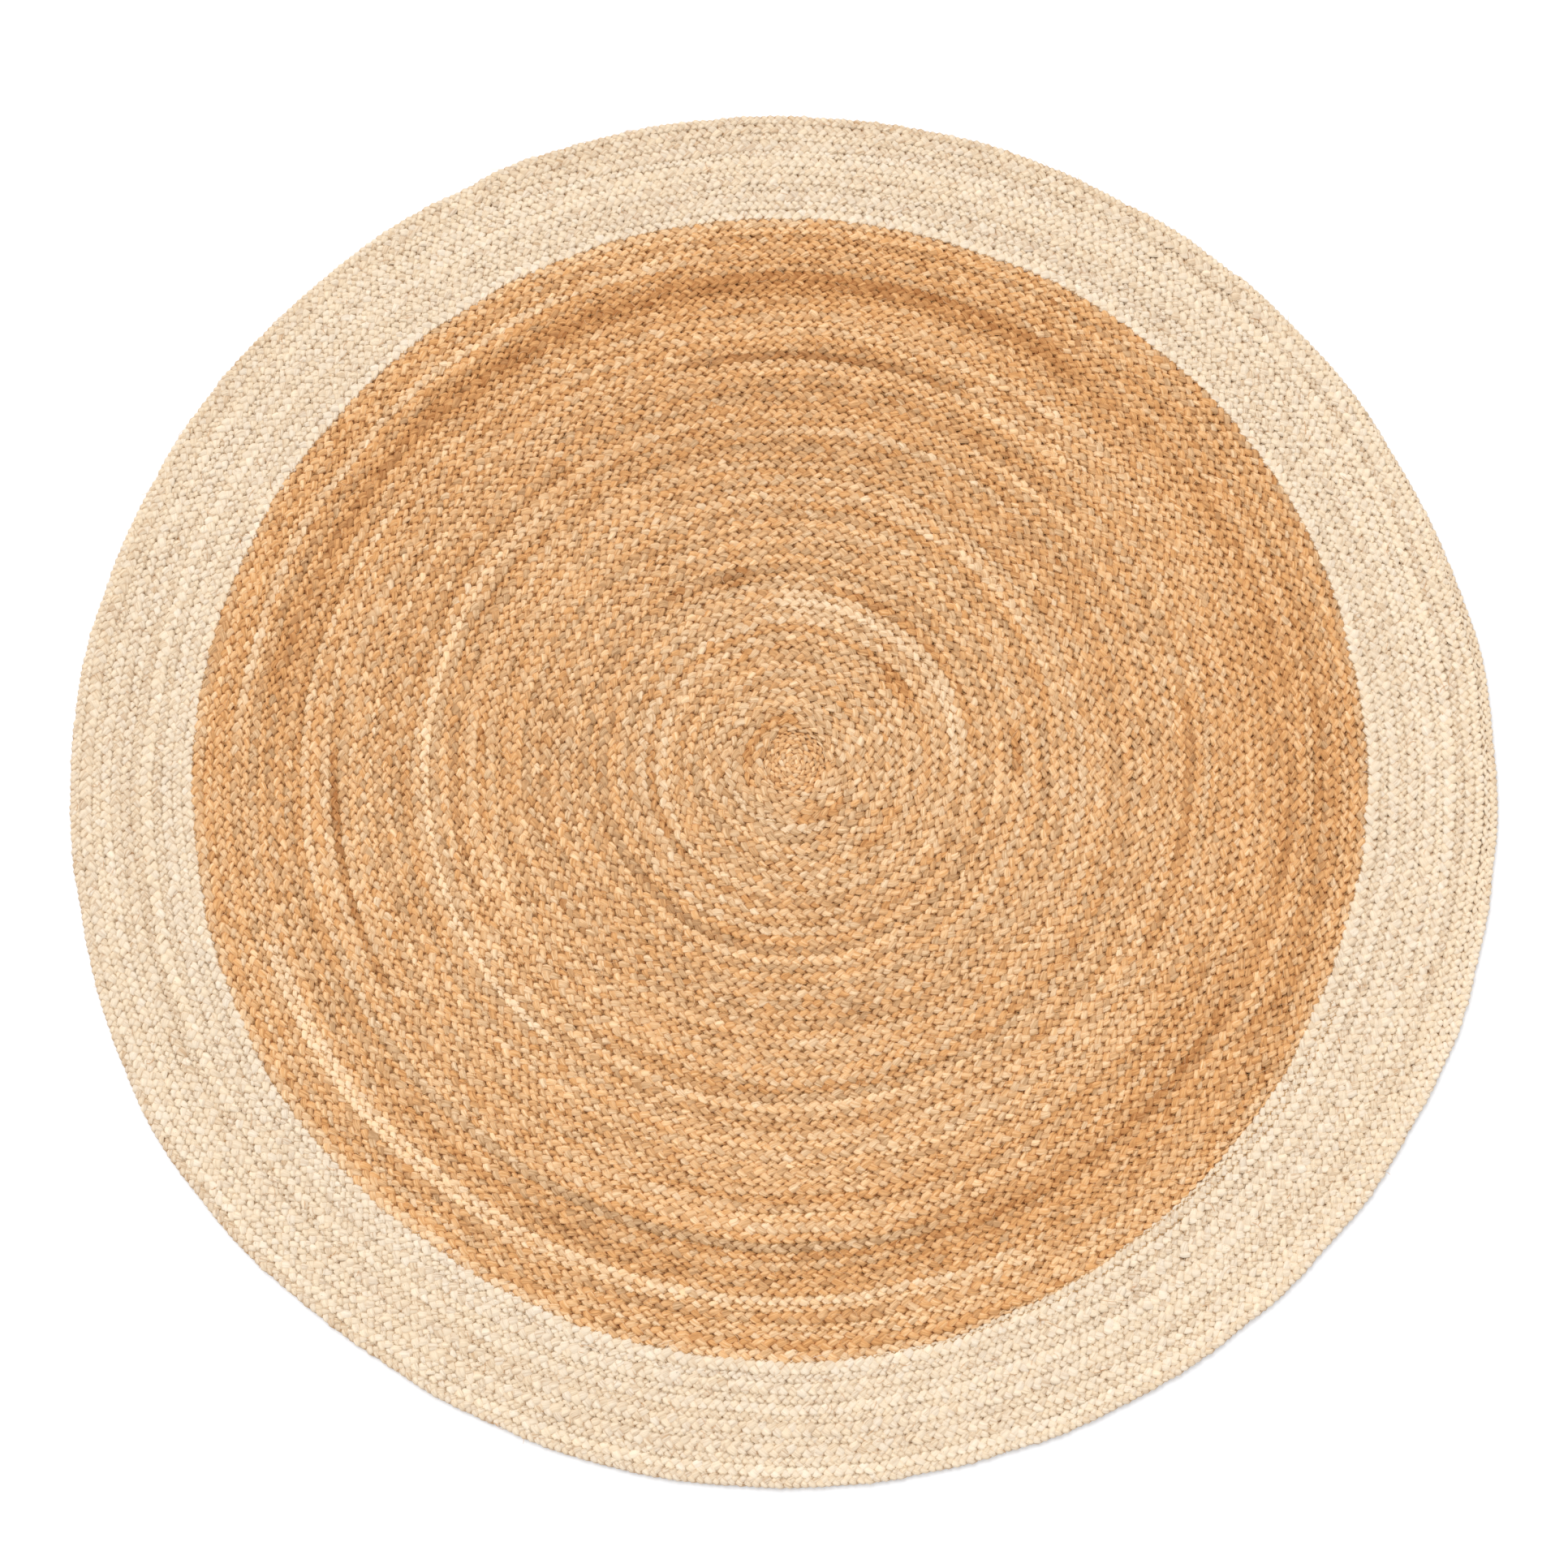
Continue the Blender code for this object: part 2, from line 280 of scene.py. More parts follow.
# Soft patches: direction in degrees, radius, half their spread each way, how much paler, how much
# more orange.
PATCHES = (
    (110, 0.545, 45, 0.045, -0.07, 0.20),
    (300, 0.530, 30, 0.030, -0.06, 0.15),
    (5, 0.500, 40, 0.060, -0.05, 0.15),
    (210, 0.555, 20, 0.030, 0.09, -0.10),
    (210, 0.330, 45, 0.070, 0.04, 0.00),
    (95, 0.400, 60, 0.025, -0.07, 0.10),
    (95, 0.735, 40, 0.014, -0.10, 0.05),
    (185, 0.690, 22, 0.020, -0.06, 0.05),
    (250, 0.690, 18, 0.015, -0.05, 0.05),
)


def smooth(value):
    """Ease values from 0 to 1, held at the ends."""
    value = np.clip(value, 0.0, 1.0)
    return value * value * (3 - 2 * value)


def seam_radius(rug, turns):
    """Radius of the seam before each turn of the pair, before the rug's drift."""
    mean_pitch = (rug.field_radius - rug.start_radius) / rug.field_turns
    change = (mean_pitch - rug.first_pitch) / rug.field_turns
    field = rug.start_radius + turns * (rug.first_pitch + change * turns)
    pitch = (rug.rug_radius - rug.field_radius) / rug.border_turns
    border = rug.field_radius + pitch * (turns - rug.field_turns)
    return np.where(turns > rug.field_turns, border, field)


def rug_turns(rug):
    """Turns of the pair of plaits from the start coil to the last tail."""
    return rug.field_turns + rug.border_turns


def inner_tail(rug):
    """Where the wide border plait narrows and where it ends."""
    return tuple(rug_turns(rug) - back for back in WIDE_TAIL)


def outer_tail(rug):
    """Where the narrow border plait narrows and where it ends."""
    return tuple(rug_turns(rug) - back for back in NARROW_TAIL)


def tail_width(rug, turns, tail):
    """How much of its full width a plait still has, near its tail."""
    start, end = tail
    return 1 - (1 - rug.tail_share) * smooth((turns - start) / (end - start))


def inner_share(rug, turns):
    """Share of the pair taken by its inner plait."""
    ramp = smooth((turns - rug.field_turns) / 0.1 + 1)
    return rug.field_share + (rug.border_share - rug.field_share) * ramp


def uneven(rug, turns, seed):
    """How far a seam lies off its even spiral."""
    rng = np.random.default_rng(seed)
    knots = np.arange(math.ceil(rug_turns(rug) + 3) * UNEVEN_KNOTS)
    stray = rng.normal(size=len(knots)).clip(-1.8, 1.8)
    swell = np.interp((turns + 1) * UNEVEN_KNOTS, knots, stray)
    inside = smooth((turns - 0.5) / 0.5) * smooth((rug_turns(rug) - 0.4 - turns) / 0.3)
    return rug.unevenness * swell * inside


def turn_seam(rug, turns):
    """Radius of the inner edge of the inner plait, never inside the start coil."""
    even = np.maximum(seam_radius(rug, turns), rug.start_radius)
    return even + uneven(rug, turns, 7)


def middle_seam(rug, turns):
    """Radius of the seam between the two plaits of the pair, closed up past the first tail."""
    pitch = seam_radius(rug, turns + 1) - seam_radius(rug, turns)
    width = inner_share(rug, turns) * pitch * tail_width(rug, turns, inner_tail(rug))
    width = width * smooth((inner_tail(rug)[1] + CLOSED_PAST - turns) / CLOSING)
    even = np.maximum(seam_radius(rug, turns) + width, rug.start_radius)
    return even + uneven(rug, turns, 8)


def outer_seam(rug, turns):
    """Radius of the outer edge of the outer plait: the next turn's seam, or the rim."""
    pitch = seam_radius(rug, turns + 1) - seam_radius(rug, turns)
    width = (1 - inner_share(rug, turns)) * pitch * tail_width(rug, turns, outer_tail(rug))
    rim = middle_seam(rug, turns) + width
    return np.where(turns < outer_tail(rug)[0] - 1, turn_seam(rug, turns + 1), rim)


INNER_ROW = (turn_seam, middle_seam)
OUTER_ROW = (middle_seam, outer_seam)


def coil_seam(rug, turns):
    """Radius of the inner edge of the start coil's plait."""
    return np.maximum(rug.coil_eye + rug.coil_pitch * turns, 0.0)


def coil_outer_seam(rug, turns):
    """Radius of the outer edge of the start coil's plait."""
    return np.minimum(coil_seam(rug, turns + 1), rug.start_radius)


def spiral_centre(rug):
    """The middle of the spiral on the floor, from the coil in the frame."""
    low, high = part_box("start_coil")
    drift = rug.drift * rug.start_radius / rug.rug_radius
    across = Vector((math.cos(rug.drift_angle), math.sin(rug.drift_angle), 0)) * drift
    middle = (low + high) / 2 - across
    return np.array((middle.x, middle.y))


def bearing(rug, turns):
    """Direction from the middle of the spiral at a place along it."""
    return rug.start_angle + math.tau * turns


def wobble(rug, points):
    """How far the points stray, in waves, because the rows were not sewn quite true."""
    rng = np.random.default_rng(5)
    stray = np.zeros_like(points)
    for _ in range(WOBBLE_WAVES):
        heading, push = rng.uniform(0, math.tau, 2)
        wave = math.tau / rng.uniform(*WOBBLE_LENGTHS)
        along = points[..., 0] * math.cos(heading) + points[..., 1] * math.sin(heading)
        swell = rug.wobble * np.sin(along * wave + rng.uniform(0, math.tau))
        stray += swell[..., None] * np.array((math.cos(push), math.sin(push)))
    return stray


def place(rug, radius, turns):
    """Points of the rug at a radius and a place along the spiral, as rows of X and Y."""
    way = bearing(rug, turns)
    reach = radius / rug.rug_radius
    off = (way - rug.kink_angle + math.pi) % math.tau - math.pi
    off = off / rug.kink_spread
    kink = -rug.kink * off * np.exp(0.5 - off * off / 2)
    radius = radius - rug.overhang * reach**8
    radius = radius + reach**3 * (rug.oval * np.cos(2 * (way - rug.oval_angle)) + kink)
    drift = rug.drift * reach
    x = radius * np.cos(way) + drift * math.cos(rug.drift_angle)
    y = radius * np.sin(way) + drift * math.sin(rug.drift_angle)
    points = np.stack([x, y], axis=-1)
    return points + wobble(rug, points) + spiral_centre(rug)


def scarf_split(turns, scarf, tip):
    """Share of the width that the ending plait has along a slanting joint."""
    start, end = scarf
    return np.minimum(np.maximum((end - turns) / (end - start), tip), 1 - tip)


class Row:
    """The room that one length of plait has between its two seams."""

    def __init__(self, rug, seams, span, scarf_in=None, scarf_out=None, level=False):
        self.rug, self.seams, self.span = rug, seams, span
        self.scarf_in, self.scarf_out, self.level = scarf_in, scarf_out, level

    def edges(self, turns):
        """Radii of the row's two edges."""
        inner, outer = (seam(self.rug, turns) for seam in self.seams)
        if self.level:
            return inner, outer
        width = np.maximum(outer - inner, self.rug.tip_width)
        tip = self.rug.tip_width / width
        low, high = np.zeros_like(turns), np.ones_like(turns)
        if self.scarf_in:
            ending = scarf_split(turns, self.scarf_in, tip)
            low = np.where(turns <= self.scarf_in[1], ending, low)
        if self.scarf_out:
            ending = scarf_split(turns, self.scarf_out, tip)
            high = np.where(turns >= self.scarf_out[0], ending, high)
        return inner + width * low, inner + width * high

    def middle(self, turns):
        """Radius of the row's middle."""
        inner, outer = self.edges(turns)
        return (inner + outer) / 2

    def width(self, turns):
        """Width of the row."""
        inner, outer = self.edges(turns)
        return outer - inner

    def ruler(self):
        """Places along the row, close together, and the distance to each of them."""
        start, end = self.span
        turns = np.linspace(start, end, int((end - start) * RULER_POINTS) + RULER_EXTRA)
        points = place(self.rug, self.middle(turns), turns)
        steps = np.linalg.norm(np.diff(points, axis=0), axis=1)
        return turns, np.concatenate([[0.0], np.cumsum(steps)])


def drifting(rng, distance, reach):
    """Soft noise along a distance, which changes over about the given reach."""
    knots = int(distance[-1] / reach) + 3
    values = rng.normal(size=knots)
    return np.interp(distance / reach, np.arange(knots), values)


def field_tone(row, turns):
    """How much paler and how much more orange the plait is, from its odd lengths and patches."""
    rug = row.rug
    shade = np.zeros_like(turns)
    warmth = np.zeros_like(turns)
    radius = row.middle(turns)
    whole = np.arange(math.ceil(rug_turns(rug)) + 1)
    for start_radius, first, last, paler, warmer in ODD_LENGTHS:
        starts = whole + (math.radians(first) - rug.start_angle) / math.tau
        miss = np.abs(row.middle(starts) - start_radius)
        begin = starts[np.argmin(miss)]
        if miss.min() > rug.first_pitch / 4:
            continue
        end = begin + (last - first) / 360
        mask = smooth((turns - begin) / TONE_FADE) * smooth((end - turns) / TONE_FADE)
        shade += paler * mask
        warmth += warmer * mask
    way = np.degrees(bearing(rug, turns))
    for direction, middle, spread, reach, paler, warmer in PATCHES:
        off = ((way - direction + 180) % 360 - 180) / spread
        out = (radius - middle) / reach
        mask = np.exp(-(off * off + out * out) / 2)
        shade += paler * mask
        warmth += warmer * mask
    warmth += rug.rim_warmth * (radius / rug.field_radius - 0.5)
    return shade, warmth


def section_curve(corners, half_width, half_height):
    """The section of a strand or thread, as a closed curve."""
    curve = bpy.data.curves.new("section", "CURVE")
    curve.dimensions = "2D"
    spline = curve.splines.new("POLY")
    spline.points.add(len(corners) - 1)
    for point, (x, y) in zip(spline.points, corners):
        point.co = (x * half_width, y * half_height, 0, 1)
    spline.use_cyclic_u = True
    return bpy.data.objects.new("section", curve)


def add_object(name, data):
    """A new object in the scene."""
    made = bpy.data.objects.new(name, data)
    bpy.context.scene.collection.objects.link(made)
    return made


def remove_guide(guide):
    """Removes a curve that was only a guide."""
    curve = guide.data
    bpy.data.objects.remove(guide)
    bpy.data.curves.remove(curve)


def swept_mesh(name, paths, section, radii=None, tilts=None):
    """A mesh that carries the section along each path, open at its ends."""
    curve = bpy.data.curves.new(name, "CURVE")
    curve.dimensions = "3D"
    curve.twist_mode = "Z_UP"
    curve.bevel_mode = "OBJECT"
    curve.bevel_object = section
    for index, path in enumerate(paths):
        spline = curve.splines.new("POLY")
        spline.points.add(len(path) - 1)
        points = np.concatenate([path, np.ones((len(path), 1))], axis=1)
        spline.points.foreach_set("co", points.ravel())
        if radii is not None:
            spline.points.foreach_set("radius", radii[index])
        if tilts is not None:
            spline.points.foreach_set("tilt", tilts[index])
    guide = add_object(name, curve)
    graph = bpy.context.evaluated_depsgraph_get()
    mesh = bpy.data.meshes.new_from_object(guide.evaluated_get(graph))
    mesh.name = name
    remove_guide(guide)
    return mesh


def lay_maps(mesh, along, around, sides, offset=0.0):
    """Gives a swept mesh two maps: Fibre in metres, and OFBake in rows that fill a square."""
    corners = np.empty(len(mesh.loops), np.int32)
    mesh.loops.foreach_get("vertex_index", corners)
    corners = corners.reshape(-1, 4)
    ring, side = corners // sides, corners % sides
    wraps = (side.max(axis=1) - side.min(axis=1) > 1)[:, None]
    side = np.where(wraps & (side == 0), sides, side)
    distance = along[ring]
    fibre = np.stack([distance + offset, side * around / sides], axis=-1)
    total = along[-1] + 1e-6
    rows = max(1, round(math.sqrt(total / around / MAP_STRETCH)))
    row_length = total / rows
    first = along[ring.min(axis=1)]
    row = np.minimum(first // row_length, rows - 1)[:, None]
    longest = np.diff(along).max()
    u = (distance - row * row_length) / (row_length + longest * 1.1)
    v = (row + 0.05 + 0.9 * side / sides) / (rows + 1)
    bake = np.stack([0.002 + 0.996 * u, v], axis=-1)
    while mesh.uv_layers:
        mesh.uv_layers.remove(mesh.uv_layers[0])
    for name, values in (("Fibre", fibre), ("OFBake", bake)):
        layer = mesh.uv_layers.new(name=name)
        layer.uv.foreach_set("vector", values.astype(np.float32).ravel())


def close_ends(mesh):
    """Closes the open ends of a swept mesh and gives the new faces their own place on the map."""
    bm = bmesh.new()
    bm.from_mesh(mesh)
    edges = [edge for edge in bm.edges if edge.is_boundary]
    caps = bmesh.ops.holes_fill(bm, edges=edges, sides=0)["faces"]
    layer = bm.loops.layers.uv["OFBake"]
    for index, face in enumerate(caps):
        spot = Vector((0.01 + 0.9 * index / len(caps), 0.995))
        for corner, loop in enumerate(face.loops):
            turn = math.tau * corner / len(face.loops)
            loop[layer].uv = spot + 0.003 * Vector((math.cos(turn), math.sin(turn)))
    bmesh.ops.recalc_face_normals(bm, faces=bm.faces)
    bm.to_mesh(mesh)
    bm.free()


def finish_piece(name, mesh, surface, slot, *nodes):
    """Puts a finished mesh into the scene as a piece that stands for CAD nodes."""
    mesh.materials.clear()
    mesh.materials.append(surface)
    mesh.shade_smooth()
    piece = add_object(name, mesh)
    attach(piece, BODY)
    if nodes:
        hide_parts(*nodes)


class PlaitKind:
    """What one kind of plait looks like."""

    def __init__(self, period, width, shade, warmth, leaf_change, row_change):
        shape = bpy.context.scene.plait_shape
        self.period, self.width = period, width
        self.thickness, self.rise = shape.thickness, shape.rise
        self.shade, self.warmth = shade, warmth
        self.leaf_change, self.row_change = leaf_change, row_change


def strand_stations(first, last):
    """Where a strand has its points: phase, place across, height, width and number of the leaf."""
    halves = np.arange(math.floor(first / math.pi) - 1, math.ceil(last / math.pi) + 2)
    ahead, across, height, size = (np.array(column) for column in zip(*LEAF))
    phase = (halves[:, None] * math.pi + np.radians(ahead)).ravel()
    side = np.where(halves % 2, -1.0, 1.0)[:, None]
    columns = [(side * across).ravel(), np.tile(height, len(halves)), np.tile(size, len(halves))]
    inside = phase[(phase > first + 0.1) & (phase < last - 0.1)]
    wanted = np.concatenate([[first], inside, [last]])
    columns = [np.interp(wanted, phase, column) for column in columns]
    leaf = np.floor((wanted + LEAF_LEAD) / math.pi).astype(int)
    return wanted, *columns, leaf - leaf[0]


def plait(name, row, kind, surface, slot, seed, toned=True):
    """The three strands of one length of plait."""
    shape = bpy.context.scene.plait_shape
    rng = np.random.default_rng(seed)
    fine_turns, fine_distance = row.ruler()
    period = kind.period * (1 + PERIOD_CHANGE * drifting(rng, fine_distance, PERIOD_REACH))
    steps = np.diff(fine_distance) * math.tau / ((period[1:] + period[:-1]) / 2)
    fine_phase = np.concatenate([[0.0], np.cumsum(steps)])
    row_shade = kind.row_change * drifting(rng, fine_distance, ROW_REACH)
    half_width, half_height = shape.half_width * kind.width, kind.thickness / 2
    section = section_curve(STRAND_SECTION, half_width, half_height)
    around = math.tau * math.hypot(half_width, half_height) / math.sqrt(2)
    for number in range(STRANDS):
        ahead = number * math.tau / STRANDS
        stations = strand_stations(fine_phase[0] + ahead, fine_phase[-1] + ahead)
        phase, across, height, size, leaf = stations
        count = leaf[-1] + 1
        slip = shape.slip * rng.normal(size=count).clip(-1.8, 1.8)
        slip[[0, -1]] = 0
        distance = np.interp(phase + slip[leaf] - ahead, fine_phase, fine_distance)
        turns = np.interp(distance, fine_distance, fine_turns)
        width = row.width(turns)
        fullness = np.clip(width / kind.width, *FULLNESS)
        lean = shape.lean * rng.normal(size=count)[leaf]
        lift = shape.wander * rng.normal(size=count).clip(-2, 2)[leaf]
        reach = 1 + SWING_CHANGE * rng.normal(size=count).clip(-2, 2)[leaf]
        plump = 1 + PLUMP_CHANGE * rng.normal(size=count).clip(-2, 2)[leaf]
        radius = row.middle(turns) + shape.swing * width * reach * across
        height = kind.rise * (height + RESTING) + kind.thickness / 2 + lift
        height = height + kind.thickness / 4 * np.maximum(1 - fullness, 0)
        radii = fullness * plump * size
        radii[[0, -1]] *= 0.5
        height = np.maximum(height, radii * kind.thickness / 2)
        path = np.column_stack([place(row.rug, radius, turns), height])
        piece_name = f"{name}_strand_{number + 1}"
        mesh = swept_mesh(piece_name, [path], section, [radii], [lean])
        lay_maps(mesh, distance, around, len(STRAND_SECTION), 100.0 * number + 7.0 * seed)
        leaf_shade = rng.normal(size=count).clip(-2.2, 2.2)[leaf]
        leaf_warmth = rng.normal(size=count).clip(-2.2, 2.2)[leaf]
        shade = kind.shade + np.interp(distance, fine_distance, row_shade)
        shade = shade + kind.leaf_change * (leaf_shade + 1.2 * drifting(rng, distance, LEAF_REACH))
        warmth = kind.warmth + LEAF_WARMTH * leaf_warmth
        warmth = warmth + ROW_WARMTH * drifting(rng, distance, WARMTH_REACH)
        if toned:
            paler, warmer = field_tone(row, turns)
            shade = shade + paler
            warmth = warmth + warmer
        for label, values in (("shade", shade), ("warmth", warmth)):
            made = mesh.attributes.new(label, "FLOAT", "POINT")
            spread = np.repeat(values, len(STRAND_SECTION)).astype(np.float32)
            made.data.foreach_set("value", spread)
        close_ends(mesh)
        finish_piece(piece_name, mesh, surface, slot, name)
    remove_guide(section)


def stitches(name, seam, start, end, surface, seed, *nodes):
    """A zigzag of thread that sews two rows together along a seam."""
    rug, sewing = bpy.context.scene.rug_layout, bpy.context.scene.sewing
    rng = np.random.default_rng(seed)
    ruler, distance = Row(rug, (seam, seam), (start, end), level=True).ruler()
    count = int(distance[-1] / sewing.step)
    at = (np.arange(count) + STITCH_STRAY * rng.uniform(-1, 1, count)) * sewing.step
    turns = np.interp(at, distance, ruler)
    side = np.where(np.arange(count) % 2, 1.0, -1.0) * (1 + STITCH_STRAY * rng.uniform(-1, 1, count))
    radius = seam(rug, turns) + side * sewing.reach
    height = sewing.height + STITCH_SINK * rng.uniform(-1, 1, count)
    path = np.column_stack([place(rug, radius, turns), height])
    thread_piece(name, path, surface, *nodes)


def thread_piece(name, path, surface, *nodes):
    """A piece of sewing thread along a path."""
    sewing = bpy.context.scene.sewing
    section = section_curve(THREAD_SECTION, sewing.thread / 2, sewing.thread / 2)
    mesh = swept_mesh(name, [path], section)
    steps = np.linalg.norm(np.diff(path, axis=0), axis=1)
    along = np.concatenate([[0.0], np.cumsum(steps)])
    lay_maps(mesh, along, math.pi * sewing.thread, len(THREAD_SECTION))
    close_ends(mesh)
    remove_guide(section)
    finish_piece(name, mesh, surface, "seam_thread", *nodes)


def tack(name, seams, turns, surface, node):
    """Turns of thread that hold a plait down close to its tail."""
    rug, sewing = bpy.context.scene.rug_layout, bpy.context.scene.sewing
    inner, outer = (float(seam(rug, np.array(turns))) for seam in seams)
    passes = (
        (inner, 0.55),
        (inner + 0.2 * (outer - inner), 0.97),
        ((inner + outer) / 2, 1.0),
        (outer - 0.2 * (outer - inner), 0.97),
        (outer, 0.55),
    )
    path = []
    for index in range(sewing.tack_passes):
        along = (index - (sewing.tack_passes - 1) / 2) * sewing.thread * 1.1
        shift = along / (math.tau * (inner + outer) / 2)
        for radius, share in passes if index % 2 else reversed(passes):
            spot = place(rug, np.array(radius), np.array(turns + shift))
            path.append((*spot, share * sewing.tack_height))
    thread_piece(name, np.array(path), surface, node)


def loose_fibres(name, surface, slot, count, reach, seed, rim=False):
    """Fine loose fibres that lie on the rug, or stick out at its rim."""
    rug, sewing = bpy.context.scene.rug_layout, bpy.context.scene.sewing
    rng = np.random.default_rng(seed)
    low, high = reach
    radius = np.sqrt(rng.uniform(low * low, high * high, count))
    turns = rug_turns(rug) - 1 + rng.uniform(0, 1, count)
    if rim:
        radius = outer_seam(rug, turns) - RIM_TUCK
    slant = rng.choice((-1, 1), count) * rng.uniform(0.1, 0.9, count)
    heading = bearing(rug, turns) + math.pi / 2 + slant
    share = np.linspace(0, 1, FIBRE_POINTS)
    way = heading[:, None] + rng.uniform(-2.2, 2.2, (count, 1)) * share
    size = sewing.fibre_length * rng.uniform(0.4, 1.3, (count, 1, 1))
    steps = size / FIBRE_POINTS * np.stack([np.cos(way), np.sin(way)], axis=-1)
    spots = place(rug, radius, turns)[:, None] + np.cumsum(steps, axis=1)
    arch = 4 * FIBRE_ARCH * share * (1 - share) * rng.uniform(0, 1, (count, 1))
    height = sewing.fibre_height + arch - (RIM_DROP if rim else 0)
    paths = np.concatenate([spots, height[..., None]], axis=-1)
    section = section_curve(THREAD_SECTION, sewing.fibre / 2, sewing.fibre / 2)
    mesh = swept_mesh(name, paths, section)
    along = np.arange(count * FIBRE_POINTS) * sewing.fibre_length / FIBRE_POINTS
    lay_maps(mesh, along, math.pi * sewing.fibre, len(THREAD_SECTION))
    close_ends(mesh)
    remove_guide(section)
    finish_piece(name, mesh, surface, slot)


class Socket:
    """A shader value that takes part in sums."""

    def __init__(self, shader, output):
        self.shader = shader
        self.output = output

    def math(self, operation, *others):
        """A Math node on this value and others."""
        values = {0: self}
        values.update({index + 1: other for index, other in enumerate(others)})
        return self.shader.node("ShaderNodeMath", {"operation": operation}, values)

    def __add__(self, other):
        return self.math("ADD", other)

    def __mul__(self, other):
        return self.math("MULTIPLY", other)

    def __sub__(self, other):
        return self.math("SUBTRACT", other)

    def __rsub__(self, other):
        return (self * -1).math("ADD", other)

    def above(self, edge, softness):
        """1 where the value is over the edge, 0 where it is well under."""
        settings = {"interpolation_type": "SMOOTHSTEP", "clamp": True}
        values = {"Value": self, "From Min": edge - softness, "From Max": edge + softness}
        return self.shader.node("ShaderNodeMapRange", settings, values)


class Shader:
    """A material under construction."""

    def __init__(self, name):
        self.made = bpy.data.materials.new(name)
        self.made.use_nodes = True
        self.tree = self.made.node_tree
        self.base = self.tree.nodes["Principled BSDF"]

    def node(self, kind, settings=None, values=None, result=0):
        """Adds a node with its settings and the values or links of its sockets."""
        made = self.tree.nodes.new(kind)
        for name, value in (settings or {}).items():
            setattr(made, name, value)
        self.fill(made, values or {})
        return Socket(self, made.outputs[result])

    def fill(self, made, values):
        """Sets or links a node's sockets."""
        for name, value in values.items():
            socket = made.inputs[name]
            if isinstance(value, Socket):
                self.tree.links.new(value.output, socket)
            else:
                socket.default_value = value

    def fibre(self, along, across, seed, detail=2.0, roughness=0.6):
        """Noise drawn out along the fibres, with so many changes per metre each way."""
        flow = self.node("ShaderNodeUVMap", {"uv_map": "Fibre"})
        for operation, by in (("MULTIPLY", (along, across, 0)), ("ADD", (0, 0, seed))):
            flow = self.node("ShaderNodeVectorMath", {"operation": operation}, {0: flow, 1: by})
        values = {"Vector": flow, "Scale": 1.0, "Detail": detail, "Roughness": roughness}
        return self.node("ShaderNodeTexNoise", {}, values)

    def noise(self, scale, detail):
        """Noise with so many changes per metre all ways."""
        spot = self.node("ShaderNodeTexCoord", result="Object")
        values = {"Vector": spot, "Scale": scale, "Detail": detail}
        return self.node("ShaderNodeTexNoise", {}, values)

    def number(self, name):
        """A number stored along the strand."""
        return self.node("ShaderNodeAttribute", {"attribute_name": name}, result="Fac")

    def height(self):
        """Height over the floor, in metres."""
        spot = self.node("ShaderNodeTexCoord", result="Object")
        return self.node("ShaderNodeSeparateXYZ", {}, {0: spot}, result="Z")

    def ramp(self, factor, stops):
        """A colour from a number, through stops of (place, colour)."""
        made = self.tree.nodes.new("ShaderNodeValToRGB")
        band = made.color_ramp
        while len(band.elements) < len(stops):
            band.elements.new(1.0)
        for element, (spot, tone) in zip(band.elements, stops):
            element.position = spot
            element.color = (*tone, 1)
        self.fill(made, {"Fac": factor})
        return Socket(self, made.outputs["Color"])

    def mix(self, factor, first, second):
        """One colour changing into another."""
        ends = [value if isinstance(value, Socket) else (*value, 1) for value in (first, second)]
        values = {0: factor, 6: ends[0], 7: ends[1]}
        return self.node("ShaderNodeMix", {"data_type": "RGBA"}, values, result=2)

    def finish(self, tone, roughness, relief, depth, strength):
        """Connects the colour, the roughness and the relief."""
        values = {"Strength": strength, "Distance": depth, "Height": relief}
        bump = self.node("ShaderNodeBump", {}, values)
        self.fill(self.base, {"Base Color": tone, "Roughness": roughness, "Normal": bump})
        self.base.inputs["Specular IOR Level"].default_value = 0.3
        self.base.inputs["Metallic"].default_value = 0.0
        return self.made


def tones(dark, mid, pale):
    """Stops of a ramp from the darkest to the palest fibre."""
    between = [(low + high) / 2 * 0.94 for low, high in zip(dark, mid)]
    return ((0.0, dark), (0.28, between), (0.52, mid), (1.0, pale))


def jute(name, cool, warm, painted_gap_shade, kind):
    """Jute fibre, between a cool and a warm range of tones, with painted shade between the strands."""
    colors = bpy.context.scene.jute_colors
    shader = Shader(name)
    bundles = shader.fibre(70, 420, 9.7)
    streaks = shader.fibre(60, 1300, 0.3, detail=3.0)
    hairs = shader.fibre(130, 4200, 4.1)
    # Painted shade: the colour darkens where the surface lies near a strand's mid height, in the gaps
    # between strands where shade falls.
    mid_height = RESTING * kind.rise + kind.thickness / 2
    off_middle = (shader.height() - mid_height).math("ABSOLUTE")
    raised = off_middle * (1 / mid_height)
    painted_groove_shade = 1 - raised.above(0.46, 0.16)
    shade = shader.number("shade") + (bundles - 0.5) * 1.05
    shade = shade + (streaks - 0.5) * 0.9 + (hairs - 0.5) * 0.4 - painted_groove_shade * painted_gap_shade
    warmth = (shader.number("warmth") + (bundles - 0.5) * 0.8).above(0.5, 0.5)
    tone = shader.mix(warmth, shader.ramp(shade, tones(*cool)), shader.ramp(shade, tones(*warm)))
    flecks = shader.fibre(380, 1500, 17.0, detail=1.0).above(0.745, 0.02)
    tone = shader.mix(flecks * 0.75, tone, tuple(colors.fleck))
    roughness = 0.92 - streaks * 0.22
    relief = bundles * 0.55 + streaks * 0.3 + hairs * 0.15
    return shader.finish(tone, roughness, relief, 1.1 * MM, 0.7)


